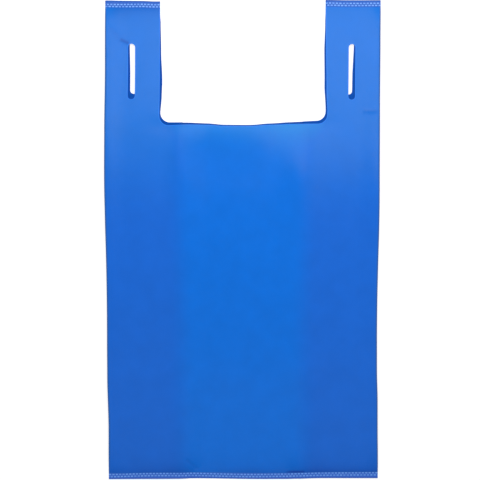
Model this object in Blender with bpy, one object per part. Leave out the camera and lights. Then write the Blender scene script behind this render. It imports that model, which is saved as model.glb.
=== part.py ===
# Non-woven t-shirt bag, empty and lying flat on its back panel.
# One web of spunbond polypropylene is folded to a tube with a gusset in each side,
# welded across the base and the top, and punched through for the mouth and two slots.
# +X is the bag's right, +Y runs towards the handles, +Z is up. Metres.

import math

import bmesh
import bpy

# The bag's outline.
HEIGHT = 0.533
HALF_WIDTH_BASE = 0.1500
HALF_WIDTH_HANDLES = 0.1535
TAPER_FROM = -0.112
TAPER_TO = 0.055
GUSSET_DEPTH = 0.0865
CENTRE_LINE_BOW = 0.0013

# The cloth and its welds.
CLOTH = 0.0004
WELD_FILM = 0.0003
BASE_WELD = 0.0062
TOP_WELD = 0.0072

# How far the layers of the flat bag stand apart, middle to middle.
RESTING_PITCH = 0.0009
OUTER_LOOP_RISE = 0.0016
INNER_LOOP_RISE = 0.0014
LOOP_REACH = 0.012
MIDDLE_PITCH = 0.0012
WELDED_STEP = 0.004
OPEN_STEP = 0.018
OPENING_RUN = 0.040
CLOTH_RECOVERY = 0.2

# The punched mouth and slots.
MOUTH_CENTRE = 0.0008
MOUTH_HALF_WIDTH = 0.0921
MOUTH_EDGE = 0.1281
MOUTH_EDGE_TILT = 0.0006
MOUTH_CORNER = 0.0105
SLOT_WIDTH = 0.0081
SLOT_LENGTH = 0.0620
SLOT_HALF_SPACING = 0.12265
SLOT_PAIR_CENTRE = -0.0005
SLOT_MIDDLE = 0.1875
CORNER_STEPS = 6
SLOT_END_STEPS = 8
PUNCH_BELOW = -0.010
PUNCH_ABOVE = 0.030
MOUTH_EDGE_DIVISIONS = 14

# How far the layers behind the front one have slipped, and where.
SLIP_UP = 0.0048
SLIP_UP_CENTRE = -0.010
SLIP_UP_FROM = 0.008
SLIP_UP_TO = 0.110
SLIP_UP_FADE = (0.040, 0.118, 0.225)
SLIP_IN = 0.0024
SLIP_IN_ACROSS = (0.060, 0.120)
SLIP_IN_FOLD_REACH = 0.028
SLIP_IN_ALONG = (0.130, 0.160, 0.175)
FRONT_LAYER_DEPTH = 0.5
NEXT_LAYER_DEPTH = 0.95

# Rows and columns of the tube.
ROWS_FROM_BASE = (0.0, 0.004, 0.010, 0.022, 0.045, 0.085, 0.135, 0.185, 0.235, 0.285, 0.335, 0.375)
ROWS_FROM_TOP = (0.122, 0.098, 0.076, 0.055, 0.036, 0.020, 0.009, 0.003, 0.0)
MIDDLE_COLUMNS = (0.0, 0.34, 0.66, 0.84, 0.94)
GUSSET_COLUMNS = (0.0, 0.14, 0.38, 0.64, 0.86, 1.0)
QUARTER_STEPS = 2

MERGE = 1e-6
SNAP = 2e-5
BLUE = (0.016, 0.150, 0.620, 1.0)

BASE_EDGE = -HEIGHT / 2
TOP_EDGE = HEIGHT / 2
BASE_SEAM = BASE_EDGE + BASE_WELD
TOP_SEAM = TOP_EDGE - TOP_WELD


def ramp(low, high, value):
    """0 below low, 1 above high, and a smooth rise between them."""
    share = min(max((value - low) / (high - low), 0.0), 1.0)
    return share * share * (3.0 - 2.0 * share)


def mix(first, second, share):
    return first + (second - first) * share


def half_width(y):
    return mix(HALF_WIDTH_BASE, HALF_WIDTH_HANDLES, ramp(TAPER_FROM, TAPER_TO, y))


def openness(y):
    """0 where the layers are welded together, 1 where they lie freely on each other."""
    from_base = ramp(0.0, OPENING_RUN, y - BASE_SEAM)
    from_top = ramp(0.0, OPENING_RUN, TOP_SEAM - y)
    return min(from_base, from_top)


class Section:
    """The flat tube's cross-section at one height. Lengths are from its centre line."""

    def __init__(self, y):
        free = openness(y)
        self.welded = free == 0.0
        self.cloth = mix(WELD_FILM, CLOTH, ramp(0.0, CLOTH_RECOVERY, free))
        self.pitch = mix(WELD_FILM, RESTING_PITCH, free)
        self.outer_rise = OUTER_LOOP_RISE * free
        self.inner_rise = INNER_LOOP_RISE * free
        self.middle_top = self.cloth + mix(WELD_FILM, MIDDLE_PITCH, free)
        self.step = mix(WELDED_STEP, OPEN_STEP, free)
        self.outer_radius = (self.pitch + self.outer_rise + self.cloth) / 2
        self.inner_radius = (self.pitch + self.inner_rise + self.cloth) / 2
        self.outer_centre = half_width(y) - self.outer_radius
        self.tip = half_width(y) - GUSSET_DEPTH
        self.inner_centre = self.tip + self.inner_radius

    def panel_pitch(self, x):
        """From a panel to the gusset layer beside it, widest in the outer fold's loop."""
        away = max(self.outer_centre - x, 0.0) / LOOP_REACH
        return self.pitch + self.outer_rise * math.exp(-away * away)

    def pocket_pitch(self, x):
        """From one gusset layer to the other, widest in the inner fold's loop."""
        away = max(x - self.inner_centre, 0.0) / LOOP_REACH
        return self.pitch + self.inner_rise * math.exp(-away * away)

    def top(self, x):
        """Height of the front panel's outer face."""
        over_gusset = max(x, self.tip)
        stack = self.cloth + 2 * self.panel_pitch(over_gusset) + self.pocket_pitch(over_gusset)
        return mix(self.middle_top, stack, ramp(self.tip - self.step, self.tip, x))

    def pocket_middle(self, x):
        return self.cloth / 2 + self.panel_pitch(x) + self.pocket_pitch(x) / 2

    def welded_inside(self, x):
        """Where the panels' inner faces end in the weld: on each other, or round the inner fold."""
        if x <= self.tip:
            return self.top(x) / 2, self.top(x) / 2
        across = self.inner_centre - x
        reach = math.sqrt(max(self.inner_radius ** 2 - across ** 2, 0.0))
        return self.pocket_middle(x) + reach, self.pocket_middle(x) - reach

    def front_panel(self, x):
        if self.welded and x < self.inner_centre:
            return self.top(x), self.welded_inside(x)[0]
        return self.top(x), self.top(x) - self.cloth

    def back_panel(self, x):
        if self.welded and x < self.inner_centre:
            return 0.0, self.welded_inside(x)[1]
        return 0.0, self.cloth

    def gusset_front(self, x):
        middle = self.pocket_middle(x) + self.pocket_pitch(x) / 2
        return middle - self.cloth / 2, middle + self.cloth / 2

    def gusset_back(self, x):
        middle = self.pocket_middle(x) - self.pocket_pitch(x) / 2
        return middle + self.cloth / 2, middle - self.cloth / 2

    def gusset_columns(self):
        return [mix(self.inner_centre, self.outer_centre, share) for share in GUSSET_COLUMNS]

    def panel_columns(self):
        """From the middle outwards, with a column over each point of the inner fold's turn."""
        middle = [self.tip * share for share in MIDDLE_COLUMNS]
        quarter = [math.pi / 2 * step / QUARTER_STEPS for step in range(QUARTER_STEPS)]
        over_turn = [self.inner_centre - self.inner_radius * math.cos(angle) for angle in quarter]
        return middle + over_turn + self.gusset_columns()

    def right_half(self):
        """(x, outer face, x, inner face) of each station from the front panel's middle
        round the folds to the back panel's middle."""
        stations = []

        def layer(columns, faces):
            for x in columns:
                outer, inner = faces(x)
                stations.append((x, outer, x, inner))

        def turn(centre_x, centre_z, side, outer_radius, inner_radius):
            for step in range(1, 2 * QUARTER_STEPS):
                angle = math.pi / 2 - math.pi * step / (2 * QUARTER_STEPS)
                across = side * math.cos(angle)
                stations.append((
                    centre_x + outer_radius * across,
                    centre_z + outer_radius * math.sin(angle),
                    centre_x + inner_radius * across,
                    centre_z + inner_radius * math.sin(angle),
                ))

        loop = self.outer_radius - self.cloth
        front_fold = self.top(self.outer_centre) - self.outer_radius
        layer(self.panel_columns(), self.front_panel)
        turn(self.outer_centre, front_fold, 1, self.outer_radius, loop)
        layer(self.gusset_columns()[::-1], self.gusset_front)
        pocket = self.inner_radius - self.cloth
        turn(self.inner_centre, self.pocket_middle(self.inner_centre), -1, pocket, self.inner_radius)
        layer(self.gusset_columns(), self.gusset_back)
        turn(self.outer_centre, self.outer_radius, 1, self.outer_radius, loop)
        layer(self.panel_columns()[::-1], self.back_panel)
        return stations

    def ring(self):
        right = self.right_half()
        left = [(-x, outer, -inner_x, inner) for x, outer, inner_x, inner in right[-2:0:-1]]
        return right + left


def add_row(mesh, y):
    ring = Section(y).ring()
    outside = [mesh.verts.new((x, y, outer)) for x, outer, _, _ in ring]
    inside = [mesh.verts.new((x, y, inner)) for _, _, x, inner in ring]
    return outside, inside


def bridge(mesh, lower, upper, order, flip=False):
    """A strip of quads between two rows, through the stations that order lists."""
    for here, following in zip(order, order[1:] + order[:1]):
        corners = [lower[here], lower[following], upper[following], upper[here]]
        mesh.faces.new(corners[::-1] if flip else corners)


def slab_order(count):
    """The stations that are the outline of a welded edge: the panels and outer folds."""
    panel = len(MIDDLE_COLUMNS) + QUARTER_STEPS + len(GUSSET_COLUMNS)
    fold = 2 * QUARTER_STEPS - 1
    last = count // 2
    right = list(range(panel + fold + 1)) + list(range(last - panel - fold + 1, last + 1))
    return right + [count - station for station in right[-2:0:-1]]


def add_welded_edge(mesh, seam, seam_y, edge_y):
    """The solid band from the seam row to the free edge, closed by a cap."""
    at_base = edge_y < seam_y
    count = len(seam)
    order = slab_order(count)
    stations = Section(edge_y).ring()
    edge = {}
    for station in order:
        edge[station] = mesh.verts.new((stations[station][0], edge_y, stations[station][1]))
    rows = (edge, seam) if at_base else (seam, edge)
    bridge(mesh, rows[0], rows[1], order)

    panel = len(MIDDLE_COLUMNS) + QUARTER_STEPS + len(GUSSET_COLUMNS)
    caps = []
    for front in range(panel - 1):
        back = count // 2 - front
        caps.append([front, back, back - 1, front + 1])
    last = panel - 1
    fold = [station for station in order if last < station < count // 2 - last]
    caps.append([last, count // 2 - last] + fold[::-1])
    caps += [[(count - station) % count for station in cap[::-1]] for cap in caps]
    for cap in caps:
        corners = [edge[station] for station in cap]
        mesh.faces.new(corners if at_base else corners[::-1])


def make_tube():
    """The folded web, welded at both ends, before the punching."""
    heights = [BASE_SEAM + run for run in ROWS_FROM_BASE] + [TOP_SEAM - run for run in ROWS_FROM_TOP]
    mesh = bmesh.new()
    rows = [add_row(mesh, y) for y in heights]
    every = list(range(len(rows[0][0])))
    for lower, upper in zip(rows, rows[1:]):
        bridge(mesh, lower[0], upper[0], every)
        bridge(mesh, lower[1], upper[1], every, flip=True)
    add_welded_edge(mesh, rows[0][0], heights[0], BASE_EDGE)
    add_welded_edge(mesh, rows[-1][0], heights[-1], TOP_EDGE)

    seams = [vert for row in (rows[0], rows[-1]) for face in row for vert in face]
    bmesh.ops.remove_doubles(mesh, verts=seams, dist=MERGE)

    data = bpy.data.meshes.new("bag")
    mesh.to_mesh(data)
    mesh.free()
    bag = bpy.data.objects.new("bag", data)
    bpy.context.collection.objects.link(bag)
    return bag


def arc(centre_x, centre_y, radius, start, end, steps):
    """Points on an arc, angles in degrees."""
    points = []
    for step in range(steps + 1):
        angle = math.radians(mix(start, end, step / steps))
        points.append((centre_x + radius * math.cos(angle), centre_y + radius * math.sin(angle)))
    return points


def mouth_outline():
    """A square notch from the top edge down, with rounded lower corners."""
    left = MOUTH_CENTRE - MOUTH_HALF_WIDTH
    right = MOUTH_CENTRE + MOUTH_HALF_WIDTH
    above = TOP_EDGE + MOUTH_CORNER
    corner_left = MOUTH_EDGE - MOUTH_EDGE_TILT + MOUTH_CORNER
    corner_right = MOUTH_EDGE + MOUTH_EDGE_TILT + MOUTH_CORNER
    outline = [(right, above), (left, above)]
    outline += arc(left + MOUTH_CORNER, corner_left, MOUTH_CORNER, 180, 270, CORNER_STEPS)
    outline += arc(right - MOUTH_CORNER, corner_right, MOUTH_CORNER, 270, 360, CORNER_STEPS)
    return outline


def slot_outline(side):
    """An upright slot with round ends in the middle of a handle."""
    x = SLOT_PAIR_CENTRE + side * SLOT_HALF_SPACING
    radius = SLOT_WIDTH / 2
    run = SLOT_LENGTH / 2 - radius
    upper = arc(x, SLOT_MIDDLE + run, radius, 0, 180, SLOT_END_STEPS)
    lower = arc(x, SLOT_MIDDLE - run, radius, 180, 360, SLOT_END_STEPS)
    return upper + lower


def punch(bag, name, outline):
    """Cut one outline straight through all the layers. The web is a closed hull with a closed
    hollow in it, which the exact solver cuts wrongly and the manifold solver cuts right."""
    mesh = bmesh.new()
    face = mesh.faces.new([mesh.verts.new((x, y, PUNCH_BELOW)) for x, y in outline])
    side = bmesh.ops.extrude_face_region(mesh, geom=[face])
    raised = [item for item in side["geom"] if isinstance(item, bmesh.types.BMVert)]
    bmesh.ops.translate(mesh, verts=raised, vec=(0, 0, PUNCH_ABOVE - PUNCH_BELOW))
    bmesh.ops.recalc_face_normals(mesh, faces=mesh.faces)
    data = bpy.data.meshes.new(name)
    mesh.to_mesh(data)
    mesh.free()
    cutter = bpy.data.objects.new(name, data)
    bpy.context.collection.objects.link(cutter)
    cutter.hide_render = True
    cutter.display_type = "WIRE"

    cut = bag.modifiers.new(name, "BOOLEAN")
    cut.operation = "DIFFERENCE"
    cut.solver = "MANIFOLD"
    cut.object = cutter
    bpy.context.view_layer.objects.active = bag
    bpy.ops.object.modifier_apply(modifier=cut.name)
    bpy.data.objects.remove(cutter)


def cut_across(mesh, faces, place, normal):
    """Divide the faces where a plane crosses them, without taking anything away."""
    edges = {edge for face in faces for edge in face.edges}
    verts = {vert for face in faces for vert in face.verts}
    geometry = [*verts, *edges, *faces]
    bmesh.ops.bisect_plane(mesh, geom=geometry, dist=SNAP, plane_co=place, plane_no=normal)


def divide_cut_edges(bag):
    """Flat layers come out of the punch as large faces. Their cut edges get points again,
    in rows up the handles and in columns along the mouth, so that each layer can slip."""
    mesh = bmesh.new()
    mesh.from_mesh(bag.data)
    rows = [TOP_SEAM - run for run in ROWS_FROM_TOP[:-1]]
    below_mouth = BASE_SEAM + ROWS_FROM_BASE[-1]
    above_mouth = rows[0]
    for y in [below_mouth] + rows:
        cut_across(mesh, mesh.faces[:], (0, y, 0), (0, 1, 0))
    for column in range(1, MOUTH_EDGE_DIVISIONS):
        x = mix(-MOUTH_HALF_WIDTH, MOUTH_HALF_WIDTH, column / MOUTH_EDGE_DIVISIONS)
        by_mouth = [face for face in mesh.faces if below_mouth < face.calc_center_bounds().y < above_mouth]
        cut_across(mesh, by_mouth, (x, 0, 0), (1, 0, 0))
    mesh.to_mesh(bag.data)
    mesh.free()


def layer_depth(section, x, z):
    """0 for the front panel, 1 for every layer behind it, and between round the front fold."""
    apart = max(section.panel_pitch(max(x, section.tip)), CLOTH)
    return ramp(FRONT_LAYER_DEPTH, NEXT_LAYER_DEPTH, (section.top(x) - z) / apart)


def slip_layers(bag):
    """The layers behind the front one have crept up the handles and in towards the mouth."""
    fade_from, full_from, full_to = SLIP_UP_FADE
    in_from, in_full, in_fade = SLIP_IN_ALONG
    for vert in bag.data.vertices:
        x, y, z = vert.co
        section = Section(y)
        behind = layer_depth(section, abs(x), z)
        up = SLIP_UP * ramp(SLIP_UP_FROM, SLIP_UP_TO, abs(x - SLIP_UP_CENTRE))
        up *= ramp(fade_from, full_from, y) * (1.0 - ramp(full_to, TOP_SEAM, y))
        inwards = SLIP_IN * ramp(*SLIP_IN_ACROSS, abs(x))
        inwards *= ramp(0.0, SLIP_IN_FOLD_REACH, half_width(y) - abs(x))
        inwards *= ramp(in_from, in_full, y) * (1.0 - ramp(in_fade, TOP_SEAM, y))
        vert.co.y += up * behind
        vert.co.x -= math.copysign(inwards * behind, x)


def bow_centre_line(bag):
    """The bag's centre line is very slightly bowed, its ends to the right."""
    for vert in bag.data.vertices:
        share = vert.co.y / TOP_EDGE
        vert.co.x += CENTRE_LINE_BOW * (share * share - 0.5)


def centre_on_box(bag):
    """The origin is the middle of the bag's box, on the surface that it lies on."""
    for axis in (0, 1):
        places = [vert.co[axis] for vert in bag.data.vertices]
        middle = (min(places) + max(places)) / 2
        for vert in bag.data.vertices:
            vert.co[axis] -= middle


def spunbond():
    """Royal blue spunbond polypropylene, matt."""
    material = bpy.data.materials.new("spunbond_polypropylene")
    material.use_nodes = True
    shader = material.node_tree.nodes["Principled BSDF"]
    shader.inputs["Base Color"].default_value = BLUE
    shader.inputs["Roughness"].default_value = 0.75
    shader.inputs["Metallic"].default_value = 0.0
    return material


def main():
    for item in list(bpy.data.objects):
        bpy.data.objects.remove(item)
    bag = make_tube()
    punch(bag, "mouth_punch", mouth_outline())
    punch(bag, "left_slot_punch", slot_outline(-1))
    punch(bag, "right_slot_punch", slot_outline(1))
    divide_cut_edges(bag)
    slip_layers(bag)
    bow_centre_line(bag)
    centre_on_box(bag)
    bag.data.materials.append(spunbond())
    bag.data.shade_smooth()
    bag.data.set_sharp_from_angle(angle=math.radians(50))


main()
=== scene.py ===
import math

import bmesh
import bpy
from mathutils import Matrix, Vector, noise


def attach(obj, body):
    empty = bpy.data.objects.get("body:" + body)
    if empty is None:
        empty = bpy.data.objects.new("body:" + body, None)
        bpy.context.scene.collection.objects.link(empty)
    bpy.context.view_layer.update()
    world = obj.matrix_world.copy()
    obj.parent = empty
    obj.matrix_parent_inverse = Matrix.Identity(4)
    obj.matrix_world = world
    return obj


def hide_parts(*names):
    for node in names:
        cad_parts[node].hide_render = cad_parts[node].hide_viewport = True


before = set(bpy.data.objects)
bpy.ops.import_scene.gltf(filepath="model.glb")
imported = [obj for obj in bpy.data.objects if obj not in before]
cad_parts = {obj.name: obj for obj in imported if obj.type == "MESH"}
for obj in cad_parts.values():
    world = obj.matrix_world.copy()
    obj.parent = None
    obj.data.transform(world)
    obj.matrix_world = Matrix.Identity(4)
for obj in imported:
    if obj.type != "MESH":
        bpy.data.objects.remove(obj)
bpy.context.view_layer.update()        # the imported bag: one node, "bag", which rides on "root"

# A plain non-woven t-shirt bag, empty, lying flat on its back panel and seen from straight
# above. X is the bag's right, Y runs up to the handles. Lengths in metres.

print("bag scene: start")

# where the bag sits in the photograph, which is taken as 480 x 480
photo = {
    "imageSize": 480,
    "metresPerPixel": 0.001115,      # 533 mm of bag over 478 px
    "bagCentre": (242.45, 239.50),
    "lens": 100.0,
    "sensorWidth": 36.0,
}

# the folded web before the punches: a gusseted tube, welded shut at both ends
web = {
    "height": 0.533,
    "halfWidthBase": 0.1500,
    "halfWidthHandles": 0.1535,
    "taper": (-0.112, 0.055),        # the handles are a little wider than the base
    "gussetDepth": 0.0865,
    "cloth": 0.0004,
    "weldFilm": 0.0003,
    "baseWeld": 0.0062,
    "topWeld": 0.0072,
    "restingPitch": 0.0009,          # layer to layer, where they just lie on each other
    "outerLoopRise": 0.0016,         # the outer folds spring open by this much more
    "innerLoopRise": 0.0014,
    "loopReach": 0.012,
    "middlePitch": 0.0012,
    "weldedStep": 0.004,
    "openStep": 0.032,
    "openingRun": 0.045,             # from a weld to where the layers lie free
    "clothRecovery": 0.2,
}

# how finely the web is meshed
weave = {
    "step": 0.0054,
    "finestStep": 0.0013,
    "growth": 1.35,
    "quarterSteps": 3,
    "creaseCuts": 3,
    "creaseReach": 2.0,              # half widths out to which a crease is meshed finer
    "bandColumn": 0.00048,           # a welded band is finer, to take the bond points
    "bandRow": 0.00047,
    "mergeDistance": 1e-6,
    "onFace": 0.25,                  # a point within this share of the cloth's thickness is on its face
    "sharpAngle": 50,
}

# the knife's outlines
punches = {
    "mouthCentre": 0.0003,
    "mouthHalfWidth": 0.0926,
    "mouthEdge": 0.1279,
    "mouthCorner": 0.0105,
    "slotLength": 0.0618,
    "leftSlot": (-0.12400, 0.18685, 0.0078),
    "rightSlot": (0.12195, 0.18630, 0.0073),
    "cornerSteps": 14,
    "slotEndSteps": 16,
    "span": (-0.010, 0.030),
}

# the layers behind the front one have crept up the handles and in towards the mouth
slip = {
    "up": (0.0011, 0.00485),         # at the middle of the mouth, and more at a slot
    "upAlong": (0.040, 0.118, 0.225),        # sets in, is full, and fades from here to the top seam
    "upWidest": 0.130,
    "inAtMouthLeft": ((0.115, 0.0), (0.137, 0.0009), (0.156, 0.0022), (0.172, 0.0026), (0.205, 0.0012),
                      (0.240, 0.0006), (0.252, 0.0)),
    "inAtMouthRight": ((0.115, 0.0), (0.140, 0.0017), (0.166, 0.0020), (0.205, 0.0017), (0.240, 0.0004),
                       (0.252, 0.0)),
    "inAtLeftSlot": ((0.120, 0.0), (0.150, 0.0027), (0.172, 0.0025), (0.215, 0.0017), (0.250, 0.0)),
    "inAtRightSlot": ((0.120, 0.0), (0.150, 0.0030), (0.172, 0.0028), (0.215, 0.0013), (0.250, 0.0)),
    "inFoldReach": 0.028,
    "layerDepths": (0.5, 0.95),
}

# the bag has crept a little out of square: how far its outer folds stand to the right of a
# straight outline at places up the bag, and how far the right handle's inner edge does
wander = {
    "leftFold": ((-0.260, 0.0010), (-0.212, 0.0011), (-0.150, -0.0004), (-0.112, -0.0006), (-0.010, 0.0003),
                 (0.022, 0.0002), (0.075, -0.0004), (0.120, -0.0002), (0.190, 0.0006), (0.266, 0.0006)),
    "rightFold": ((-0.260, 0.0006), (-0.212, 0.0001), (-0.180, 0.0001), (-0.145, -0.0006), (-0.112, -0.0006),
                  (-0.010, -0.0011), (0.055, -0.0012), (0.145, -0.0008), (0.222, -0.0002), (0.260, 0.0002)),
    "rightHandle": ((0.128, 0.0020), (0.142, 0.0020), (0.167, 0.0009), (0.2115, 0.0), (0.254, -0.0007)),
    "handleAcross": (0.095, 0.120),
    "handleReach": (0.060, 0.125),
}

# two staggered rows of stitch-like bond points, pressed by the welding wheel
stitches = {
    "pitch": 0.00376,
    "length": 0.0020,
    "width": 0.0011,
    "rowGap": 0.0024,
    "softEdge": 0.00040,
    "depth": 0.00013,
    # how far in from the free edge the outer row runs, at places across the bag
    "baseInset": ((-0.147, 0.0028), (-0.098, 0.0037), (-0.002, 0.0026), (0.072, 0.0032), (0.148, 0.0037)),
    "topInset": ((-0.150, 0.0044), (-0.100, 0.0037), (0.100, 0.0037), (0.150, 0.0036)),
}

# the cut edges aren't quite straight: how far they stand up or down from the square
trim = {
    "base": ((-0.147, -0.0005), (-0.100, -0.0003), (-0.075, -0.0002), (-0.055, 0.0003), (0.020, -0.0005),
             (0.045, -0.0004), (0.090, 0.0006)),
    "top": ((-0.150, -0.0004), (-0.115, -0.0007), (-0.098, -0.0013), (0.0975, 0.0004), (0.114, 0.0),
            (0.150, -0.0001)),
    "mouth": ((-0.085, -0.0008), (-0.058, 0.0), (-0.038, -0.0002), (-0.022, -0.0013), (0.008, -0.0014),
              (0.030, 0.0), (0.052, 0.0008), (0.088, 0.0010)),
    "reach": 0.060,
    "mouthFade": (0.093, 0.115),
}

# the cloth doesn't lie dead flat: long swells, short buckles, puckers at the welds and places
# where the whole stack is off the table
swells = {
    "long": (0.00055, 0.085, 0.120, 1.7),    # height, length across, length along, layer of the noise
    "short": (0.00022, 0.026, 0.038, 5.3),
    "pucker": (0.00050, 0.0085, 0.050, 9.9),
    "puckerReach": 0.016,
    "lift": (0.0009, 0.110, 0.110, 12.1),
    # how far the handles' welds are off the table, at places across the bag
    "topWeldLift": ((-0.1500, 0.0010), (-0.1370, 0.0), (0.0920, 0.0), (0.0950, 0.0009), (0.1300, 0.0009),
                    (0.1480, 0.0017), (0.1540, 0.0019)),
    "topWeldReach": 0.012,
    # the mouth's edge is raised in the middle, by its height, middle and reach, and the lip
    # droops to each side of that
    "ridge": (0.0015, (-0.014, 0.1255), (0.050, 0.030)),
    "lip": (0.0008, 0.014),
    # soft bulges round the shoulders, which catch the light
    "bulges": (
        (0.0010, (-0.0930, 0.120), (0.014, 0.030)),
        (0.0008, (-0.0720, 0.080), (0.010, 0.040)),
        (0.0009, (0.0586, 0.068), (0.012, 0.035)),
        (0.0010, (0.1200, 0.165), (0.010, 0.050)),
        (0.0020, (0.1480, 0.060), (0.014, 0.060)),
    ),
}

# single creases seen in the photo: from, to, half width, height and how much shade is painted along them
creases = {
    "leftSlotTop": ((-0.1350, 0.2220), (-0.1285, 0.2190), 0.0018, 0.00035, 0.45),
    "leftHandle": ((-0.1460, 0.2330), (-0.1370, 0.2235), 0.0040, 0.00030, 0.06),
    "rightHandleBase": ((0.1370, 0.1432), (0.1490, 0.1425), 0.0025, 0.00030, 0.12),
    "baseMiddle": ((-0.0625, -0.2462), (-0.0515, -0.2552), 0.0022, -0.00028, 0.12),
    "baseRight": ((0.0520, -0.2592), (0.0670, -0.2592), 0.0024, -0.00028, 0.75),
}
creaseEnd = 3.0          # half widths out, where nothing is left of a crease
creaseGrowth = 4.0       # how soon a crease has its full height as the layers part at a weld

# how much shade is painted where the cloth is pinched at the seams, and how much sheen is painted at the
# mouth's edge, at places across the bag; and how much sheen is painted on the handles
paintedLight = {
    "baseSeam": ((-0.147, 0.25), (-0.098, 0.42), (-0.070, 0.45), (-0.053, 0.16), (0.0, 0.38),
                 (0.045, 0.34), (0.085, 0.60), (0.110, 0.45), (0.148, 0.45)),
    "baseReach": 0.0055,
    "topSeam": ((-0.150, 0.12), (-0.138, 0.28), (-0.095, 0.28), (0.095, 0.0), (0.150, 0.0)),
    "topReach": 0.0080,
    "mouthEdge": ((-0.092, 0.0), (-0.070, 0.45), (0.020, 0.55), (0.052, 1.0), (0.080, 0.7), (0.098, 0.0)),
    "mouthReach": 0.014,
    "handles": 0.27,
    "handlesFrom": (0.010, 0.150),
    "gussetReach": 0.020,            # from the inner folds to where the handles' tone is full
}

# how softly the zones that the material reads run into each other
borders = {
    "gusset": (-0.010, 0.018),       # to each side of an inner fold
    "soft": 0.0006,
    "facingUp": (0.1, 0.5),          # how level the cloth is where it lies in the front layer's shade
}
markNames = ("gusset", "weld", "shade", "fold", "dull", "paintedSheen", "fromCut", "fromEdge")
perMetre = 1000          # the seams' own places are in millimetres

baseEdge = -web["height"] / 2
topEdge = web["height"] / 2
baseSeam = baseEdge + web["baseWeld"]
topSeam = topEdge - web["topWeld"]


def rise(low, high, value):
    share = min(max((value - low) / (high - low), 0.0), 1.0)
    return share * share * (3.0 - 2.0 * share)


def between(first, second, share):
    return first + (second - first) * share


# a value that runs smoothly through a few (place, value) points
def throughPoints(points, place):
    for (first, firstValue), (second, secondValue) in zip(points, points[1:]):
        if place < second:
            return between(firstValue, secondValue, rise(first, second, place))
    return points[-1][1]


def waveAt(x, y, wave):
    height, across, along, layer = wave
    return height * noise.noise(Vector((x / across, y / along, layer)))


def halfWidthAt(y):
    return between(web["halfWidthBase"], web["halfWidthHandles"], rise(*web["taper"], y))


# the layers part quickly at a weld and then lie level
def opennessAt(y):
    fromWeld = min(y - baseSeam, topSeam - y) / web["openingRun"]
    return 1.0 - (1.0 - min(max(fromWeld, 0.0), 1.0)) ** 3


# the tube's section at one height: how far its layers stand apart and where its folds are
def sectionAt(y):
    free = opennessAt(y)
    cut = {"welded": free == 0.0, "free": free}
    cut["cloth"] = between(web["weldFilm"], web["cloth"], rise(0.0, web["clothRecovery"], free))
    cut["pitch"] = between(web["weldFilm"], web["restingPitch"], free)
    cut["outerRise"] = web["outerLoopRise"] * free
    cut["innerRise"] = web["innerLoopRise"] * free
    cut["middleTop"] = cut["cloth"] + between(web["weldFilm"], web["middlePitch"], free)
    cut["step"] = between(web["weldedStep"], web["openStep"], free)
    cut["outerRadius"] = (cut["pitch"] + cut["outerRise"] + cut["cloth"]) / 2
    cut["innerRadius"] = (cut["pitch"] + cut["innerRise"] + cut["cloth"]) / 2
    cut["outerCentre"] = halfWidthAt(y) - cut["outerRadius"]
    cut["tip"] = halfWidthAt(y) - web["gussetDepth"]
    cut["innerCentre"] = cut["tip"] + cut["innerRadius"]
    return cut


def panelPitch(cut, x):
    away = max(cut["outerCentre"] - x, 0.0) / web["loopReach"]
    return cut["pitch"] + cut["outerRise"] * math.exp(-away * away)


def pocketPitch(cut, x):
    away = max(x - cut["innerCentre"], 0.0) / web["loopReach"]
    return cut["pitch"] + cut["innerRise"] * math.exp(-away * away)


# height of the front panel's outer face
def topAt(cut, x):
    overGusset = max(x, cut["tip"])
    stack = cut["cloth"] + 2 * panelPitch(cut, overGusset) + pocketPitch(cut, overGusset)
    return between(cut["middleTop"], stack, rise(cut["tip"] - cut["step"], cut["tip"], x))


def pocketMiddle(cut, x):
    return cut["cloth"] / 2 + panelPitch(cut, x) + pocketPitch(cut, x) / 2


# in a weld the panels' inner faces end on each other, or round the inner fold
def weldedInside(cut, x, side):
    if x <= cut["tip"]:
        return topAt(cut, x) / 2
    across = cut["innerCentre"] - x
    reach = math.sqrt(max(cut["innerRadius"] ** 2 - across ** 2, 0.0))
    return pocketMiddle(cut, x) + side * reach


def frontPanel(cut, x):
    if cut["welded"] and x < cut["innerCentre"]:
        return topAt(cut, x), weldedInside(cut, x, 1)
    return topAt(cut, x), topAt(cut, x) - cut["cloth"]


def backPanel(cut, x):
    if cut["welded"] and x < cut["innerCentre"]:
        return 0.0, weldedInside(cut, x, -1)
    return 0.0, cut["cloth"]


def gussetFront(cut, x):
    middle = pocketMiddle(cut, x) + pocketPitch(cut, x) / 2
    return middle - cut["cloth"] / 2, middle + cut["cloth"] / 2


def gussetBack(cut, x):
    middle = pocketMiddle(cut, x) - pocketPitch(cut, x) / 2
    return middle + cut["cloth"] / 2, middle - cut["cloth"] / 2


# shares of a length from 0 to 1, closer together at the ends that ask for it
def gradedShares(length, fineStart, fineEnd):
    def fromOneEnd(fine):
        runs = [0.0]
        step = weave["finestStep"] if fine else weave["step"]
        while runs[-1] + step < length / 2 and step < weave["step"]:
            runs.append(runs[-1] + step)
            step = min(step * weave["growth"], weave["step"])
        return runs
    start = fromOneEnd(fineStart)
    end = [length - run for run in fromOneEnd(fineEnd)][::-1]
    count = max(round((end[0] - start[-1]) / weave["step"]), 1)
    middle = [between(start[-1], end[0], step / count) for step in range(1, count)]
    return [run / length for run in start + middle + end]


middleShares = gradedShares(web["halfWidthHandles"] - web["gussetDepth"], False, True)[:-1]
gussetShares = gradedShares(web["gussetDepth"], True, True)
quarterTurn = [math.pi / 2 * step / weave["quarterSteps"] for step in range(weave["quarterSteps"])]
panelCount = len(middleShares) + weave["quarterSteps"] + len(gussetShares)
foldCount = 2 * weave["quarterSteps"] - 1
backMiddle = 2 * panelCount + 2 * len(gussetShares) + 3 * foldCount - 1


def gussetColumns(cut):
    return [between(cut["innerCentre"], cut["outerCentre"], share) for share in gussetShares]


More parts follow.
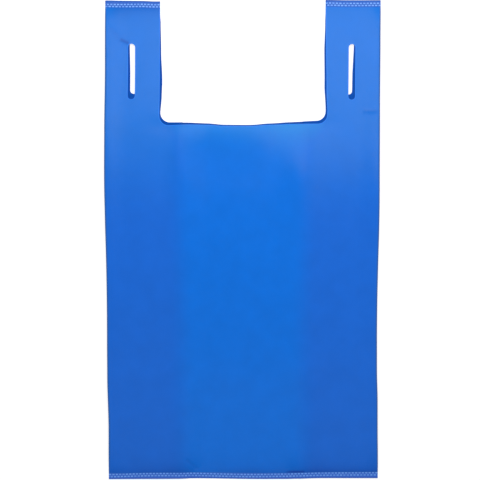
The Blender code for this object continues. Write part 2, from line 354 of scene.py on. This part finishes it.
def panelColumns(cut):
    middle = [cut["tip"] * share for share in middleShares]
    overTurn = [cut["innerCentre"] - cut["innerRadius"] * math.cos(angle) for angle in quarterTurn]
    return middle + overTurn + gussetColumns(cut)


# stations round the cloth, each (outer x, outer z, inner x, inner z): from the middle of the
# front panel round the right side's folds to the middle of the back panel, and back by the left
def ringAt(cut):
    right = []

    def layer(columns, faces):
        for x in columns:
            outer, inner = faces(cut, x)
            right.append((x, outer, x, inner))

    def fold(centreX, centreZ, side, outerRadius, innerRadius):
        for step in range(1, foldCount + 1):
            angle = math.pi / 2 - math.pi * step / (foldCount + 1)
            across, up = side * math.cos(angle), math.sin(angle)
            right.append((centreX + outerRadius * across, centreZ + outerRadius * up,
                          centreX + innerRadius * across, centreZ + innerRadius * up))

    outerFold = (cut["outerRadius"], cut["outerRadius"] - cut["cloth"])
    innerFold = (cut["innerRadius"] - cut["cloth"], cut["innerRadius"])
    frontFoldZ = topAt(cut, cut["outerCentre"]) - cut["outerRadius"]
    layer(panelColumns(cut), frontPanel)
    fold(cut["outerCentre"], frontFoldZ, 1, *outerFold)
    layer(gussetColumns(cut)[::-1], gussetFront)
    fold(cut["innerCentre"], pocketMiddle(cut, cut["innerCentre"]), -1, *innerFold)
    layer(gussetColumns(cut), gussetBack)
    fold(cut["outerCentre"], cut["outerRadius"], 1, *outerFold)
    layer(panelColumns(cut)[::-1], backPanel)
    left = [(-x, outer, -innerX, inner) for x, outer, innerX, inner in right[-2:0:-1]]
    return right + left


# a point in a seam's own coordinates: along it, and in from the foot of the outer row
def seamPlace(x, y):
    inset = throughPoints(stitches["topInset"] if y > 0 else stitches["baseInset"], x)
    fromEdge = topEdge - y if y > 0 else y - baseEdge
    return x, fromEdge - inset + stitches["rowGap"] / 2


# how far the welding wheel has pressed a place in, 0 to 1
def pressedAt(x, y):
    along, inwards = seamPlace(x, y)
    row = math.floor(inwards / stitches["rowGap"])
    if row not in (0, 1):
        return 0.0
    run = along / stitches["pitch"] + row / 2
    alongDash = abs(run - round(run)) * stitches["pitch"] - stitches["length"] / 2
    acrossDash = abs(inwards - (row + 0.5) * stitches["rowGap"]) - stitches["width"] / 2
    outside = max(alongDash, acrossDash)
    return 1.0 - rise(-stitches["softEdge"], stitches["softEdge"] / 2, outside)


# how high the creases stand at a place, and how much shade is painted in them there
def creaseAt(x, y):
    height = dull = 0.0
    for start, end, width, crest, dulled in creases.values():
        first, along = Vector(start), Vector(end) - Vector(start)
        share = (Vector((x, y)) - first).dot(along) / along.length_squared
        nearest = first + along * min(max(share, 0.0), 1.0)
        away = (Vector((x, y)) - nearest).length / width
        if away < creaseEnd:
            height += crest * math.exp(-away * away)
            dull = max(dull, dulled * math.exp(-away * away))
    return height, dull


# whether a crease runs by a place
def nearCrease(x, y):
    for start, end, width, _, _ in creases.values():
        reach = weave["creaseReach"] * width + weave["step"] / 2
        inX = min(start[0], end[0]) - reach < x < max(start[0], end[0]) + reach
        if inX and min(start[1], end[1]) - reach < y < max(start[1], end[1]) + reach:
            return True
    return False


# shade painted at the foot of the seams, where the cloth is pinched, and in the creases
def dullAt(x, y):
    atBase = throughPoints(paintedLight["baseSeam"], x) * math.exp(-max(y - baseSeam, 0.0) / paintedLight["baseReach"])
    atTop = throughPoints(paintedLight["topSeam"], x) * math.exp(-max(topSeam - y, 0.0) / paintedLight["topReach"])
    return max(atBase, atTop, creaseAt(x, y)[1])


# how much sheen is painted on the cloth; in the welds it tells the base's film, 1, from the handles', 0, the
# base's film being painted lighter for the weaker light at the base end
def paintedSheenAt(x, y):
    if y < baseSeam or y > topSeam:
        return 1.0 if y < 0 else 0.0
    below = max(punches["mouthEdge"] - y, 0.0)
    atMouth = throughPoints(paintedLight["mouthEdge"], x) * math.exp(-below / paintedLight["mouthReach"])
    overGusset = rise(0.0, paintedLight["gussetReach"], abs(x) - web["halfWidthBase"] + web["gussetDepth"])
    return max(atMouth, paintedLight["handles"] * overGusset * rise(*paintedLight["handlesFrom"], y))


# the swell of the stack of layers at a place, and how far the whole stack is off the table
def swellAt(cut, x, y):
    swell = waveAt(x, y, swells["long"]) + waveAt(x, y, swells["short"])
    toWeld = min(y - baseSeam, topSeam - y) / swells["puckerReach"]
    if toWeld > 0:
        swell += waveAt(x, y, swells["pucker"]) * math.exp(-toWeld)
    height, middle, reach = swells["ridge"]
    held = math.exp(-((x - middle[0]) / reach[0]) ** 4)
    swell += height * held * math.exp(-((y - middle[1]) / reach[1]) ** 2)
    height, reach = swells["lip"]
    toMouth = abs(punches["mouthEdge"] - y) / reach
    swell -= height * (1.0 - held) * math.exp(-toMouth) * (1.0 - rise(*trim["mouthFade"], abs(x)))
    for height, middle, reach in swells["bulges"]:
        away = math.hypot((x - middle[0]) / reach[0], (y - middle[1]) / reach[1])
        swell += height * math.exp(-away * away)
    lift = max(swells["lift"][0] / 2 + waveAt(x, y, swells["lift"]), 0.0)
    fromTop = max(topSeam - y, 0.0) / swells["topWeldReach"]
    lift += throughPoints(swells["topWeldLift"], x) * math.exp(-fromTop)
    return swell * cut["free"], lift


# a height in the plain stack, moved by the swell; every layer keeps its order
def swollen(cut, x, y, z):
    swell, lift = swellAt(cut, x, y)
    return z * (1.0 + swell / topAt(cut, abs(x))) + lift


def unswollen(cut, x, y, z):
    swell, lift = swellAt(cut, x, y)
    return (z - lift) / (1.0 + swell / topAt(cut, abs(x)))


# whether a place is on the front panel's outer face
def isFrontFace(cut, x, y, z):
    return topAt(cut, abs(x)) - unswollen(cut, x, y, z) < cut["cloth"] * weave["onFace"]


def bridgeRows(shape, lower, upper, flip=False):
    for here in range(len(lower)):
        there = (here + 1) % len(lower)
        corners = [lower[here], lower[there], upper[there], upper[here]]
        shape.faces.new(corners[::-1] if flip else corners)


# stations of the ring that are the outline of a weld: both panels and the outer folds
def bandStations():
    right = list(range(panelCount + foldCount + 1))
    right += list(range(backMiddle - panelCount - foldCount + 1, backMiddle + 1))
    return right + [2 * backMiddle - station for station in right[-2:0:-1]]


# into how many columns the band divides the cloth after each station, 1 round the folds
def bandSplits(ring, stations):
    def panelOf(station):
        place = min(station, 2 * backMiddle - station)
        return "front" if place < panelCount else "back" if place > backMiddle - panelCount else "fold"
    splits = []
    for here, there in zip(stations, stations[1:] + stations[:1]):
        width = abs(ring[here][0] - ring[there][0])
        onPanel = panelOf(here) == panelOf(there) != "fold"
        splits.append(max(round(width / weave["bandColumn"]), 1) if onPanel else 1)
    return splits


def bandRow(shape, y, stations, splits):
    cut = sectionAt(y)
    ring = ringAt(cut)
    row = []
    for place, pieces in enumerate(splits):
        here, there = ring[stations[place]], ring[stations[(place + 1) % len(stations)]]
        for piece in range(pieces):
            x = between(here[0], there[0], piece / pieces)
            z = between(here[1], there[1], piece / pieces)
            dent = stitches["depth"] * pressedAt(x, y)
            if z > topAt(cut, abs(x)) - web["weldFilm"] * weave["onFace"]:
                z -= dent
            elif z < web["weldFilm"] * weave["onFace"]:
                z += dent
            row.append(shape.verts.new((x, y, swollen(cut, x, y, z))))
    return row


# close the free edge, front column to back column, and the little ends round the folds
def capBand(shape, edge, splits, atBase):
    total = len(edge)
    half = total // 2
    lastFront = sum(splits[:panelCount - 1])
    caps = [[front, half - front, half - front - 1, front + 1] for front in range(lastFront)]
    ends = list(range(lastFront + 1, half - lastFront))
    caps.append([lastFront, half - lastFront] + ends[::-1])
    caps += [[(total - place) % total for place in cap[::-1]] for cap in caps]
    for cap in caps:
        corners = [edge[place] for place in cap]
        shape.faces.new(corners if atBase else corners[::-1])


# the solid band of fused layers between a seam and the free edge
def addWeldedBand(shape, seam, seamY, edgeY):
    atBase = edgeY < seamY
    stations = bandStations()
    splits = bandSplits(ringAt(sectionAt(seamY)), stations)
    count = round(abs(edgeY - seamY) / weave["bandRow"])
    heights = [between(seamY, edgeY, step / count) for step in range(1, count + 1)]
    rows = [bandRow(shape, y, stations, splits) for y in heights]
    start = 0
    for place, pieces in enumerate(splits):      # wide columns of the seam onto narrow ones
        here, there = seam[stations[place]], seam[stations[(place + 1) % len(stations)]]
        narrow = [rows[0][(start + piece) % len(rows[0])] for piece in range(pieces + 1)]
        corners = narrow + [there, here]
        shape.faces.new(corners if atBase else corners[::-1])
        start += pieces
    for nearSeam, nearEdge in zip(rows, rows[1:]):
        bridgeRows(shape, nearEdge, nearSeam, flip=not atBase)
    capBand(shape, rows[-1], splits, atBase)


def addObject(name, shape):
    data = bpy.data.meshes.new(name)
    shape.to_mesh(data)
    shape.free()
    made = bpy.data.objects.new(name, data)
    bpy.context.scene.collection.objects.link(made)
    return made


def foldWeb():
    length = topSeam - baseSeam
    heights = [baseSeam + length * share for share in gradedShares(length, True, True)]
    shape = bmesh.new()
    rows = []
    for y in heights:
        cut = sectionAt(y)
        ring = ringAt(cut)
        outer = [shape.verts.new((x, y, swollen(cut, x, y, z))) for x, z, _, _ in ring]
        inner = [shape.verts.new((x, y, swollen(cut, x, y, z))) for _, _, x, z in ring]
        rows.append((outer, inner))
    for lower, upper in zip(rows, rows[1:]):
        bridgeRows(shape, lower[0], upper[0])
        bridgeRows(shape, lower[1], upper[1], flip=True)
    addWeldedBand(shape, rows[0][0], heights[0], baseEdge)
    addWeldedBand(shape, rows[-1][0], heights[-1], topEdge)
    seams = [vert for row in (rows[0], rows[-1]) for face in row for vert in face]
    bmesh.ops.remove_doubles(shape, verts=seams, dist=weave["mergeDistance"])
    return addObject("clothBag", shape)


def arcPoints(centreX, centreY, radius, start, end, steps):
    angles = [math.radians(between(start, end, step / steps)) for step in range(steps + 1)]
    return [(centreX + radius * math.cos(angle), centreY + radius * math.sin(angle)) for angle in angles]


def mouthOutline():
    left = punches["mouthCentre"] - punches["mouthHalfWidth"]
    right = punches["mouthCentre"] + punches["mouthHalfWidth"]
    corner, steps = punches["mouthCorner"], punches["cornerSteps"]
    y = punches["mouthEdge"] + corner
    outline = [(right, topEdge + corner), (left, topEdge + corner)]
    outline += arcPoints(left + corner, y, corner, 180, 270, steps)
    return outline + arcPoints(right - corner, y, corner, 270, 360, steps)


def slotOutline(x, y, width):
    radius, steps = width / 2, punches["slotEndSteps"]
    run = punches["slotLength"] / 2 - radius
    upper = arcPoints(x, y + run, radius, 0, 180, steps)
    return upper + arcPoints(x, y - run, radius, 180, 360, steps)


# how far a place lies outside a box with rounded corners
def outsideBox(x, y, centre, halfSize, radius):
    across = abs(x - centre[0]) - halfSize[0] + radius
    along = abs(y - centre[1]) - halfSize[1] + radius
    return math.hypot(max(across, 0.0), max(along, 0.0)) - radius


def distanceFromCuts(x, y):
    mouthHalf = (punches["mouthHalfWidth"], topEdge)
    mouthMiddle = (punches["mouthCentre"], punches["mouthEdge"] + topEdge)
    distances = [outsideBox(x, y, mouthMiddle, mouthHalf, punches["mouthCorner"])]
    for side in ("leftSlot", "rightSlot"):
        slotX, slotY, width = punches[side]
        slotHalf = (width / 2, punches["slotLength"] / 2)
        distances.append(outsideBox(x, y, (slotX, slotY), slotHalf, width / 2))
    return min(distances)


# cut one outline straight down through every layer
def punchThrough(bag, name, outline):
    low, high = punches["span"]
    shape = bmesh.new()
    face = shape.faces.new([shape.verts.new((x, y, low)) for x, y in outline])
    pulled = bmesh.ops.extrude_face_region(shape, geom=[face])["geom"]
    raised = [item for item in pulled if isinstance(item, bmesh.types.BMVert)]
    bmesh.ops.translate(shape, verts=raised, vec=(0, 0, high - low))
    bmesh.ops.recalc_face_normals(shape, faces=shape.faces)
    knife = addObject(name, shape)
    cut = bag.modifiers.new(name, "BOOLEAN")
    cut.operation = "DIFFERENCE"
    cut.solver = "MANIFOLD"          # the web has a closed hollow, which the exact solver gets wrong
    cut.object = knife
    bpy.context.view_layer.objects.active = bag
    bpy.ops.object.modifier_apply(modifier=cut.name)
    bpy.data.objects.remove(knife)


# the punches leave long faces with many corners, which would tear as the layers slip
def splitCutFaces(bag):
    shape = bmesh.new()
    shape.from_mesh(bag.data)
    cutFaces = [face for face in shape.faces if len(face.verts) > 4]
    bmesh.ops.triangulate(shape, faces=cutFaces, ngon_method="BEAUTY")
    shape.to_mesh(bag.data)
    shape.free()


# the front panel's outer face is meshed finer where a crease runs
def refineAtCreases(bag):
    shape = bmesh.new()
    shape.from_mesh(bag.data)
    fine = []
    for edge in shape.edges:
        x, y, z = (edge.verts[0].co + edge.verts[1].co) / 2
        inCloth = abs(y) < topSeam - web["cloth"]
        if inCloth and nearCrease(x, y) and isFrontFace(sectionAt(y), x, y, z):
            fine.append(edge)
    bmesh.ops.subdivide_edges(shape, edges=fine, cuts=weave["creaseCuts"], use_grid_fill=True)
    shape.to_mesh(bag.data)
    shape.free()


# 0 on the front panel and 1 on every layer behind it
def behindFront(cut, x, y, z):
    apart = max(panelPitch(cut, max(abs(x), cut["tip"])), web["cloth"])
    depth = topAt(cut, abs(x)) - unswollen(cut, x, y, z)
    return rise(*slip["layerDepths"], depth / apart)


# what the material reads, from the cloth before it slips: where gussets lie below, where the
# web is welded, which layers lie in the front one's shade, how far the knife's cuts and the
# free edges are, and the seams' own places in millimetres
def markCloth(bag):
    data = bag.data
    for name in markNames:
        data.attributes.new(name, "FLOAT", "POINT")
    data.uv_layers.new(name="seam")
    marks = {name: data.attributes[name] for name in markNames}
    seamUv = data.uv_layers["seam"]
    seamPlaces = []
    soft = borders["soft"]
    for vert in data.vertices:
        x, y, z = vert.co
        cut = sectionAt(y)
        behind = behindFront(cut, x, y, z) if abs(x) < cut["outerCentre"] else 0.0
        values = {
            "gusset": rise(*borders["gusset"], abs(x) - cut["tip"]),
            "weld": rise(-soft, 0.0, max(baseSeam - y, y - topSeam)),
            "shade": behind * rise(*borders["facingUp"], vert.normal.z),
            # where shade is painted along the outer folds, at the seams and in the creases, and where sheen
            # is painted at the mouth and on the handles
            "fold": rise(-soft, soft, abs(x) - cut["outerCentre"]),
            "dull": dullAt(x, y),
            "paintedSheen": paintedSheenAt(x, y),
            "fromCut": distanceFromCuts(x, y),
            "fromEdge": topEdge - abs(y),
        }
        for name, value in values.items():
            marks[name].data[vert.index].value = value
        seamPlaces.append(seamPlace(x, y))
    for loop in data.loops:
        along, inwards = seamPlaces[loop.vertex_index]
        seamUv.data[loop.index].uv = (along * perMetre, inwards * perMetre)


# how far a layer behind the front one has slipped inwards and up at a place
def slipAt(x, y):
    mouthSide = punches["mouthHalfWidth"]
    slotSide = punches["rightSlot"][0]
    fadeFrom, fullFrom, fullTo = slip["upAlong"]
    atMiddle, moreAtSlot = slip["up"]
    up = atMiddle + moreAtSlot * (min(abs(x), slip["upWidest"]) / slotSide) ** 2
    up *= rise(fadeFrom, fullFrom, y) * (1.0 - rise(fullTo, topSeam, y))
    side = "Left" if x < 0 else "Right"
    atMouth = throughPoints(slip["inAtMouth" + side], y)
    atSlot = throughPoints(slip["inAt" + side + "Slot"], y)
    inward = between(atMouth, atSlot, rise(mouthSide, slotSide, abs(x)))
    inward *= rise(0.0, mouthSide, abs(x)) * rise(0.0, slip["inFoldReach"], halfWidthAt(y) - abs(x))
    return math.copysign(inward, -x), up


# how far the whole stack stands off the square at a place
def wanderAt(x, y):
    acrossBag = (x / halfWidthAt(y) + 1.0) / 2
    right = between(throughPoints(wander["leftFold"], y), throughPoints(wander["rightFold"], y), acrossBag)
    acrossMouth = min(max((x / punches["mouthHalfWidth"] + 1.0) / 2, 0.0), 1.0)
    handle = throughPoints(wander["rightHandle"], y) * acrossMouth
    right += handle * (1.0 - rise(*wander["handleAcross"], abs(x))) * rise(*wander["handleReach"], y)
    up = throughPoints(trim["top"], x) * rise(-trim["reach"], 0.0, y - topSeam)
    up += throughPoints(trim["base"], x) * rise(-trim["reach"], 0.0, baseSeam - y)
    fromMouth = abs(y - punches["mouthEdge"]) / trim["reach"]
    nearMouth = (1.0 - rise(0.0, 1.0, fromMouth)) * (1.0 - rise(*trim["mouthFade"], abs(x)))
    up += throughPoints(trim["mouth"], x) * nearMouth
    return right, up


# raise the creases, and move each layer to where it and the whole stack have slipped
def settleLayers(bag):
    for vert in bag.data.vertices:
        x, y, z = vert.co
        cut = sectionAt(y)
        behind = behindFront(cut, x, y, z)
        inward, up = slipAt(x, y)
        right, higher = wanderAt(x, y)
        if isFrontFace(cut, x, y, z):
            vert.co.z += creaseAt(x, y)[0] * min(cut["free"] * creaseGrowth, 1.0)
        vert.co.x += inward * behind + right
        vert.co.y += up * behind + higher


def centreOnBox(bag):
    for axis in (0, 1):
        places = [vert.co[axis] for vert in bag.data.vertices]
        middle = (min(places) + max(places)) / 2
        for vert in bag.data.vertices:
            vert.co[axis] -= middle
    lowest = min(vert.co.z for vert in bag.data.vertices)
    for vert in bag.data.vertices:
        vert.co.z -= lowest


def makeBag():
    bag = foldWeb()
    print("bag scene: web folded,", len(bag.data.vertices), "points")
    punchThrough(bag, "mouthKnife", mouthOutline())
    for side in ("leftSlot", "rightSlot"):
        punchThrough(bag, side + "Knife", slotOutline(*punches[side]))
    print("bag scene: punched,", len(bag.data.vertices), "points")
    splitCutFaces(bag)
    refineAtCreases(bag)
    markCloth(bag)
    settleLayers(bag)
    centreOnBox(bag)
    bag.data.shade_smooth()
    bag.data.set_sharp_from_angle(angle=math.radians(weave["sharpAngle"]))
    return bag


def toLinear(hexColour):
    channels = [int(hexColour[place:place + 2], 16) / 255 for place in (1, 3, 5)]
    linear = [value / 12.92 if value <= 0.04045 else ((value + 0.055) / 1.055) ** 2.4 for value in channels]
    return (*linear, 1.0)


# add a node with its settings; an input's value is linked if it is a socket, and set if not
def addNode(tree, kind, settings=None, inputs=None):
    node = tree.nodes.new(kind)
    for name, value in (settings or {}).items():
        setattr(node, name, value)
    for name, value in (inputs or {}).items():
        if isinstance(value, bpy.types.NodeSocket):
            tree.links.new(value, node.inputs[name])
        else:
            node.inputs[name].default_value = value
    return node


def newMaterial(name):
    material = bpy.data.materials.new(name)
    material.use_nodes = True
    material.node_tree.nodes.clear()
    return material, material.node_tree


# Spunbond polypropylene, coloured in the melt: endless filaments laid at random and bonded by
# a heated roller with small points. It gives a matt, slightly cloudy blue with a faint emboss.
# Where the welding wheel has pressed the layers to film it is smoother and paler.
spunbond = {
    "overTwoLayers": "#026dda",
    "overGussets": "#1566d2",
    "inShade": "#0a4ca8",
    # painted shade at the seams and in the creases
    "dulled": "#08248c",
    # painted sheen along the mouth and on the handles
    "paintedSheenTone": "#1a87d8",
    # painted shade along the outer folds, where the cloth turns down
    "foldShadeTone": "#2c5fa6",
    # a painted highlight along the cut edges, where the edge stands a little proud
    "cutEdgeHighlight": "#2479e4",
    "welded": ("#1c5abc", "#3466cd"),        # at the handles, and at the base, where the film is painted lighter for the weaker light there
    "pressed": ("#74a8f6", "#6da2f2"),
    # painted shade along the weld's free edges, at the handles and at the base
    "freeEdgeShade": ("#1f4f9e", "#365fb8"),
    "weaklyPressed": 0.6,            # some bond points have taken less pressure than the others
    "cutEdgeHighlightWidth": 0.0010,
    "freeEdgeShadeWidth": 0.0009,
    "cloudSize": 0.022,
    "cloudAmount": 0.035,
    "fibreSize": 0.0011,             # a filament is 0.02 mm across, so these are bunches of them
    "fibreDepth": 0.00002,
    "pointPitch": 0.0016,            # bond points really sit about 1 mm apart, drawn a bit coarser
    "pointDepth": 0.00002,
    "ior": 1.49,
    "specular": 0.108,
    "roughness": 0.22,
    "middleRoughness": 0.14,         # between the gussets the front panel is drawn smooth
    "insideRoughness": 0.95,         # the layers behind show the side that the roller didn't smooth
    "sheen": 0.02,
}


def spunbondMaterial():
    look = spunbond
    material, tree = newMaterial("spunbondPolypropylene")
    place = addNode(tree, "ShaderNodeTexCoord").outputs["Object"]
    seam = addNode(tree, "ShaderNodeUVMap", {"uv_map": "seam"}).outputs["UV"]
    marks = {}
    for name in markNames:
        marks[name] = addNode(tree, "ShaderNodeAttribute", {"attribute_name": name}).outputs["Fac"]

    # two layers of cloth in the middle, four where the gussets lie between the panels
    # (a colour mix has its factor in input 0, its colours in 6 and 7, its result in output 2)
    zones = addNode(tree, "ShaderNodeMix", {"data_type": "RGBA"}, {
        0: marks["gusset"], 6: toLinear(look["overTwoLayers"]), 7: toLinear(look["overGussets"])})

    # the filaments lie thicker and thinner, which shows as clouds
    cloud = addNode(tree, "ShaderNodeTexNoise", {}, {
        "Vector": place, "Scale": 1 / look["cloudSize"], "Detail": 3.0, "Roughness": 0.55})
    lightness = addNode(tree, "ShaderNodeMapRange", {}, {
        "Value": cloud.outputs["Fac"], "From Min": 0.3, "From Max": 0.7,
        "To Min": 1 - look["cloudAmount"], "To Max": 1 + look["cloudAmount"]})
    clouded = addNode(tree, "ShaderNodeHueSaturation", {}, {
        "Value": lightness.outputs["Result"], "Color": zones.outputs[2]})

    # two rows of stitch-like bond points: offset bricks on the seam's own millimetres, which are
    # squeezed along the seam so that a brick's gaps come out wider there
    rowGap = stitches["rowGap"] * perMetre
    squeeze = (stitches["rowGap"] - stitches["width"]) / (stitches["pitch"] - stitches["length"])
    squeezed = addNode(tree, "ShaderNodeMapping", {}, {"Vector": seam, "Scale": (squeeze, 1, 1)})
    stitch = addNode(tree, "ShaderNodeTexBrick", {"offset": 0.5, "offset_frequency": 2}, {
        "Vector": squeezed.outputs["Vector"], "Scale": 1.0, "Row Height": rowGap,
        "Brick Width": stitches["pitch"] * squeeze * perMetre,
        "Mortar Size": (stitches["rowGap"] - stitches["width"]) * perMetre / 2, "Mortar Smooth": 0.5,
        "Color1": (1, 1, 1, 1), "Color2": (look["weaklyPressed"],) * 3 + (1,), "Bias": -0.3,
        "Mortar": (0, 0, 0, 1)})
    inwards = addNode(tree, "ShaderNodeSeparateXYZ", {}, {0: seam}).outputs["Y"]
    pastFoot = addNode(tree, "ShaderNodeMath", {"operation": "GREATER_THAN"}, {0: inwards, 1: 0.0})
    beforeEnd = addNode(tree, "ShaderNodeMath", {"operation": "LESS_THAN"}, {0: inwards, 1: 2 * rowGap})
    inRows = addNode(tree, "ShaderNodeMath", {"operation": "MULTIPLY"}, {
        0: pastFoot.outputs[0], 1: beforeEnd.outputs[0]})
    pressed = addNode(tree, "ShaderNodeMath", {"operation": "MULTIPLY"}, {
        0: inRows.outputs[0], 1: stitch.outputs["Color"]})

    # a narrow highlight is painted along the knife's cuts, and a narrow shade along the weld's free edges
    rims = {}
    for mark, width in (("fromCut", look["cutEdgeHighlightWidth"]), ("fromEdge", look["freeEdgeShadeWidth"])):
        rims[mark] = addNode(tree, "ShaderNodeMapRange", {"interpolation_type": "SMOOTHSTEP"}, {
            "Value": marks[mark], "From Min": width * 0.5, "From Max": width * 1.5,
            "To Min": 1.0, "To Max": 0.0}).outputs["Result"]

    # the film's tones at the handles and at the base, where the welded film and its free edges are painted
    # lighter for the weaker light
    tones = {}
    for name in ("welded", "pressed", "freeEdgeShade"):
        atHandles, atBase = look[name]
        tones[name] = addNode(tree, "ShaderNodeMix", {"data_type": "RGBA"}, {
            0: marks["paintedSheen"], 6: toLinear(atHandles), 7: toLinear(atBase)}).outputs[2]

    # each tone is laid over the ones before it: sheen is painted along the mouth and on the handles, and
    # shade where the cloth is pinched at the seams and in the creases; shade is painted along the outer
    # folds, where the cloth turns down, and a highlight along a cut edge, and the layers behind the front
    # one lie in its shade; the film of the welds, the shade painted along its free edges, and its bond
    # points
    colour = clouded.outputs["Color"]
    for share, tone in (
            (marks["paintedSheen"], toLinear(look["paintedSheenTone"])),
            (marks["dull"], toLinear(look["dulled"])),
            (marks["fold"], toLinear(look["foldShadeTone"])),
            (rims["fromCut"], toLinear(look["cutEdgeHighlight"])),
            (marks["shade"], toLinear(look["inShade"])),
            (marks["weld"], tones["welded"]),
            (rims["fromEdge"], tones["freeEdgeShade"]),
            (pressed.outputs[0], tones["pressed"])):
        laid = addNode(tree, "ShaderNodeMix", {"data_type": "RGBA"}, {0: share, 6: colour, 7: tone})
        colour = laid.outputs[2]

    # fine relief, in metres: filaments, and the roller's points set on the diagonal
    fibre = addNode(tree, "ShaderNodeTexNoise", {}, {
        "Vector": place, "Scale": 1 / look["fibreSize"], "Detail": 2.0})
    fibreHeight = addNode(tree, "ShaderNodeMath", {"operation": "MULTIPLY"}, {
        0: fibre.outputs["Fac"], 1: look["fibreDepth"]})
    diagonal = addNode(tree, "ShaderNodeMapping", {}, {
        "Vector": place, "Rotation": (0, 0, math.radians(45))})
    point = addNode(tree, "ShaderNodeTexVoronoi", {"voronoi_dimensions": "2D"}, {
        "Vector": diagonal.outputs["Vector"], "Scale": 1 / look["pointPitch"], "Randomness": 0.0})
    pointHeight = addNode(tree, "ShaderNodeMapRange", {"interpolation_type": "SMOOTHSTEP"}, {
        "Value": point.outputs["Distance"], "From Min": 0.15, "From Max": 0.4,
        "To Min": 0.0, "To Max": look["pointDepth"]})
    relief = addNode(tree, "ShaderNodeMath", {"operation": "ADD"}, {
        0: fibreHeight.outputs[0], 1: pointHeight.outputs["Result"]})
    unwelded = addNode(tree, "ShaderNodeMath", {"operation": "SUBTRACT"}, {0: 1.0, 1: marks["weld"]})
    clothRelief = addNode(tree, "ShaderNodeMath", {"operation": "MULTIPLY"}, {
        0: relief.outputs[0], 1: unwelded.outputs[0]})
    bump = addNode(tree, "ShaderNodeBump", {}, {"Height": clothRelief.outputs[0], "Distance": 1.0})

    smoothness = addNode(tree, "ShaderNodeMapRange", {}, {
        "Value": marks["gusset"], "To Min": look["middleRoughness"], "To Max": look["roughness"]})
    roughness = addNode(tree, "ShaderNodeMapRange", {}, {
        "Value": marks["shade"], "To Min": smoothness.outputs["Result"], "To Max": look["insideRoughness"]})
    surface = addNode(tree, "ShaderNodeBsdfPrincipled", {}, {
        "Base Color": colour, "Roughness": roughness.outputs["Result"], "IOR": look["ior"],
        "Specular IOR Level": look["specular"], "Sheen Weight": look["sheen"], "Sheen Roughness": 0.5,
        "Normal": bump.outputs["Normal"]})
    addNode(tree, "ShaderNodeOutputMaterial", {}, {"Surface": surface.outputs["BSDF"]})
    return material


bag = makeBag()
bag.data.materials.clear()           # the punches leave empty material slots behind
bag.data.materials.append(spunbondMaterial())
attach(bag, "root")
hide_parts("bag")
# the web laid out flat is as wide as both panels and both gussets; its area is less the punched
# pieces
print("bag scene: cloth bag done")

# a pale floor and plain soft light: a bright room, a broad softbox over the handle end and a
# weak one over the base
studio = {
    "floorSize": 40.0,
    "floorColour": "#c4c4c4",
    "floorGlow": 0.66,
    "worldLevel": 0.56,
    "handleEnd": {"place": (0.038, 0.342, 0.642), "turn": -10.5, "size": (0.548, 0.375), "power": 3.08},
    "baseEnd": {"place": (0.0, -0.40, 0.90), "turn": 0.0, "size": (0.60, 0.40), "power": 0.4},
}


# 1 for what the camera sees, straight or in gloss or glass, and 0 for light on the object
def seenRays(tree):
    path = addNode(tree, "ShaderNodeLightPath")
    direct = addNode(tree, "ShaderNodeMath", {"operation": "MAXIMUM"}, {
        0: path.outputs["Is Camera Ray"], 1: path.outputs["Is Glossy Ray"]})
    seen = addNode(tree, "ShaderNodeMath", {"operation": "MAXIMUM"}, {
        0: direct.outputs[0], 1: path.outputs["Is Transmission Ray"]})
    return seen.outputs[0]


# matt white paper, which reads as plain white and still takes the bag's shadow
def floorMaterial():
    material, tree = newMaterial("mattWhitePaper")
    paper = addNode(tree, "ShaderNodeBsdfDiffuse", {}, {"Color": toLinear(studio["floorColour"])})
    glowLevel = addNode(tree, "ShaderNodeMath", {"operation": "MULTIPLY"}, {
        0: seenRays(tree), 1: studio["floorGlow"]})
    glow = addNode(tree, "ShaderNodeEmission", {}, {"Strength": glowLevel.outputs[0]})
    both = addNode(tree, "ShaderNodeAddShader", {}, {0: paper.outputs[0], 1: glow.outputs[0]})
    addNode(tree, "ShaderNodeOutputMaterial", {}, {"Surface": both.outputs[0]})
    return material


def makeFloor():
    bpy.ops.object.select_all(action="DESELECT")
    bpy.ops.mesh.primitive_plane_add(size=studio["floorSize"])
    floor = bpy.context.object
    floor.name = "paperFloor"
    floor.data.materials.append(floorMaterial())


def makeWorld():
    world = bpy.data.worlds.new("studioWorld")
    world.use_nodes = True
    tree = world.node_tree
    tree.nodes.clear()
    level = addNode(tree, "ShaderNodeMapRange", {}, {
        "Value": seenRays(tree), "To Min": studio["worldLevel"], "To Max": 1.0})
    sky = addNode(tree, "ShaderNodeBackground", {}, {
        "Color": (1, 1, 1, 1), "Strength": level.outputs["Result"]})
    addNode(tree, "ShaderNodeOutputWorld", {}, {"Surface": sky.outputs[0]})
    bpy.context.scene.world = world


# a softbox hangs level, facing straight down
def makeSoftbox(name):
    settings = studio[name]
    turn = (0, 0, math.radians(settings["turn"]))
    bpy.ops.object.light_add(type="AREA", location=settings["place"], rotation=turn)
    softbox = bpy.context.object
    softbox.name = name + "Softbox"
    softbox.data.shape = "RECTANGLE"
    softbox.data.size, softbox.data.size_y = settings["size"]
    softbox.data.energy = settings["power"]
    softbox.visible_camera = False


# straight above, with the photo's frame
def makeCamera():
    size, scale = photo["imageSize"], photo["metresPerPixel"]
    x = (size / 2 - photo["bagCentre"][0]) * scale
    y = (photo["bagCentre"][1] - size / 2) * scale
    height = size * scale * photo["lens"] / photo["sensorWidth"]
    bpy.ops.object.camera_add(location=(x, y, height), rotation=(0, 0, 0))
    camera = bpy.context.object
    camera.data.lens = photo["lens"]
    camera.data.sensor_width = photo["sensorWidth"]
    bpy.context.scene.camera = camera


makeFloor()
makeWorld()
makeSoftbox("handleEnd")
makeSoftbox("baseEnd")
makeCamera()
bpy.context.scene.view_settings.view_transform = "Standard"
print("bag scene: floor, light and camera done")
